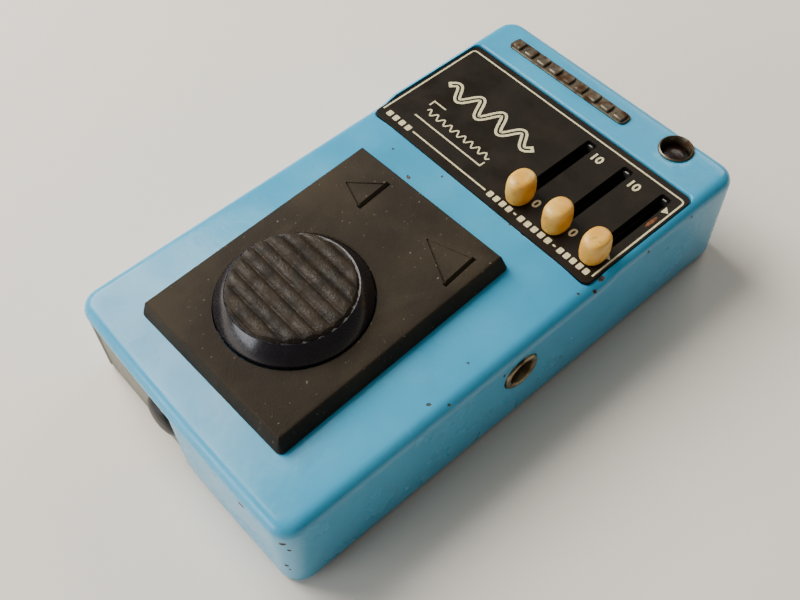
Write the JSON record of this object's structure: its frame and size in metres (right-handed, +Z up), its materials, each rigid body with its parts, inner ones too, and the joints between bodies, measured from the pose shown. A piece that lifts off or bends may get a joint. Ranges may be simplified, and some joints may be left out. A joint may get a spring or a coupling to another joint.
{
  "type": "guitar effects pedal",
  "caption": "Box-shaped guitar effects pedal with a rubber tread pad, round footswitch button, slide controls on a sunk panel, side jacks, indicator lamp and battery door.",
  "frame": {"origin": "on the floor under the middle of the case (bottom of the feet)", "axes": "+X to the right seen from the player, +Y from the tread end to the control end, +Z up"},
  "size_m": [0.077, 0.1373, 0.0364],
  "materials": {
    "enamel": "glossy sky-blue baked enamel, chipped to bare metal in small spots along its edges",
    "tread_rubber": "dark brown-black rubber, dusty",
    "foot_rubber": "black rubber",
    "button_black": "glossy black skirt, scuffed ridged top",
    "panel_brown": "satin dark brown paint",
    "steel": "plated sheet steel",
    "nickel": "dulled nickel plate",
    "brass": "spring brass",
    "knob_cream": "aged cream plastic",
    "lens_red": "deep red lens, unlit",
    "led_red": "red epoxy",
    "nylon": "natural nylon",
    "black_plastic": "moulded black plastic",
    "door_grey": "grey-olive moulded plastic",
    "board": "brown phenolic laminate",
    "battery_can": "plain grey battery jacket",
    "capacitor_blue": "blue sleeved can",
    "lead_red": "red insulation",
    "lead_black": "black insulation",
    "lead_cream": "cream insulation",
    "lead_green": "green insulation",
    "badge_metal": "dulled metal",
    "plunger_red": "red acetal"
  },
  "bodies": {
    "case": {"enclosure": "enamel", "tread_pad": "tread_rubber", "control_panel": "panel_brown", "base_plate": "steel", "base_screw_near_left": "steel", "base_screw_near_right": "steel", "base_screw_far_left": "steel", "base_screw_far_right": "steel", "foot_near_left": "foot_rubber", "foot_near_right": "foot_rubber", "foot_far_left": "foot_rubber", "foot_far_right": "foot_rubber", "footswitch_guide": "nylon", "footswitch_spring": "steel", "switch_body": "black_plastic", "switch_board": "board", "switch_screw_left": "steel", "switch_screw_right": "steel", "slider_1_body": "steel", "slider_2_body": "steel", "slider_3_body": "steel", "input_jack_body": "black_plastic", "input_jack_ring": "nickel", "input_jack_leaf": "brass", "output_jack_body": "black_plastic", "output_jack_ring": "nickel", "output_jack_leaf": "brass", "lamp_rim": "nickel", "lamp_lens": "lens_red", "lamp_led": "led_red", "badge_bar": "badge_metal", "battery": "battery_can", "battery_snap": "black_plastic", "battery_partition": "black_plastic", "circuit_board": "board", "board_screw_near_left": "steel", "board_screw_far_left": "steel", "board_screw_far_middle": "steel", "chip_large": "black_plastic", "chip_small": "black_plastic", "capacitor_1": "capacitor_blue", "capacitor_2": "capacitor_blue", "capacitor_3": "capacitor_blue", "lead_battery_positive": "lead_red", "lead_battery_negative": "lead_black", "lead_input": "lead_cream", "lead_output": "lead_cream", "lead_switch": "lead_green"},
    "footswitch": {"footswitch_cap": "button_black", "footswitch_stem": "steel", "footswitch_clip": "steel"},
    "switch_plunger": {"switch_plunger": "plunger_red"},
    "slider_1": {"slider_1_lever": "steel", "slider_1_knob": "knob_cream"},
    "slider_2": {"slider_2_lever": "steel", "slider_2_knob": "knob_cream"},
    "slider_3": {"slider_3_lever": "steel", "slider_3_knob": "knob_cream"},
    "battery_door": {"battery_door": "door_grey", "battery_door_grip": "button_black"}
  },
  "joints": [
    {"name": "footswitch_press", "type": "slide", "parent": "case", "child": "footswitch", "axis": [0, 0, -1], "range_m": [0, 0.0025], "stiffness_N_per_m": 800, "springref_m": -0.004, "deforming": ["footswitch_spring"]},
    {"name": "switch_plunger_press", "type": "slide", "parent": "case", "child": "switch_plunger", "axis": [0, 0, -1], "range_m": [0, 0.0025]},
    {"name": "slider_1_slide", "type": "slide", "parent": "case", "child": "slider_1", "axis": [0, 1, 0], "range_m": [0, 0.02]},
    {"name": "slider_2_slide", "type": "slide", "parent": "case", "child": "slider_2", "axis": [0, 1, 0], "range_m": [0, 0.02]},
    {"name": "slider_3_slide", "type": "slide", "parent": "case", "child": "slider_3", "axis": [0, 1, 0], "range_m": [0, 0.02]},
    {"name": "battery_door_swing", "type": "hinge", "parent": "case", "child": "battery_door", "pos_m": [-0.0337, -0.066, 0.0128], "axis": [0, 0, -1], "range_deg": [0, 95]}
  ],
  "couplings": [
    {"joint": "switch_plunger_press", "follows": "footswitch_press", "ratio": 1}
  ]
}
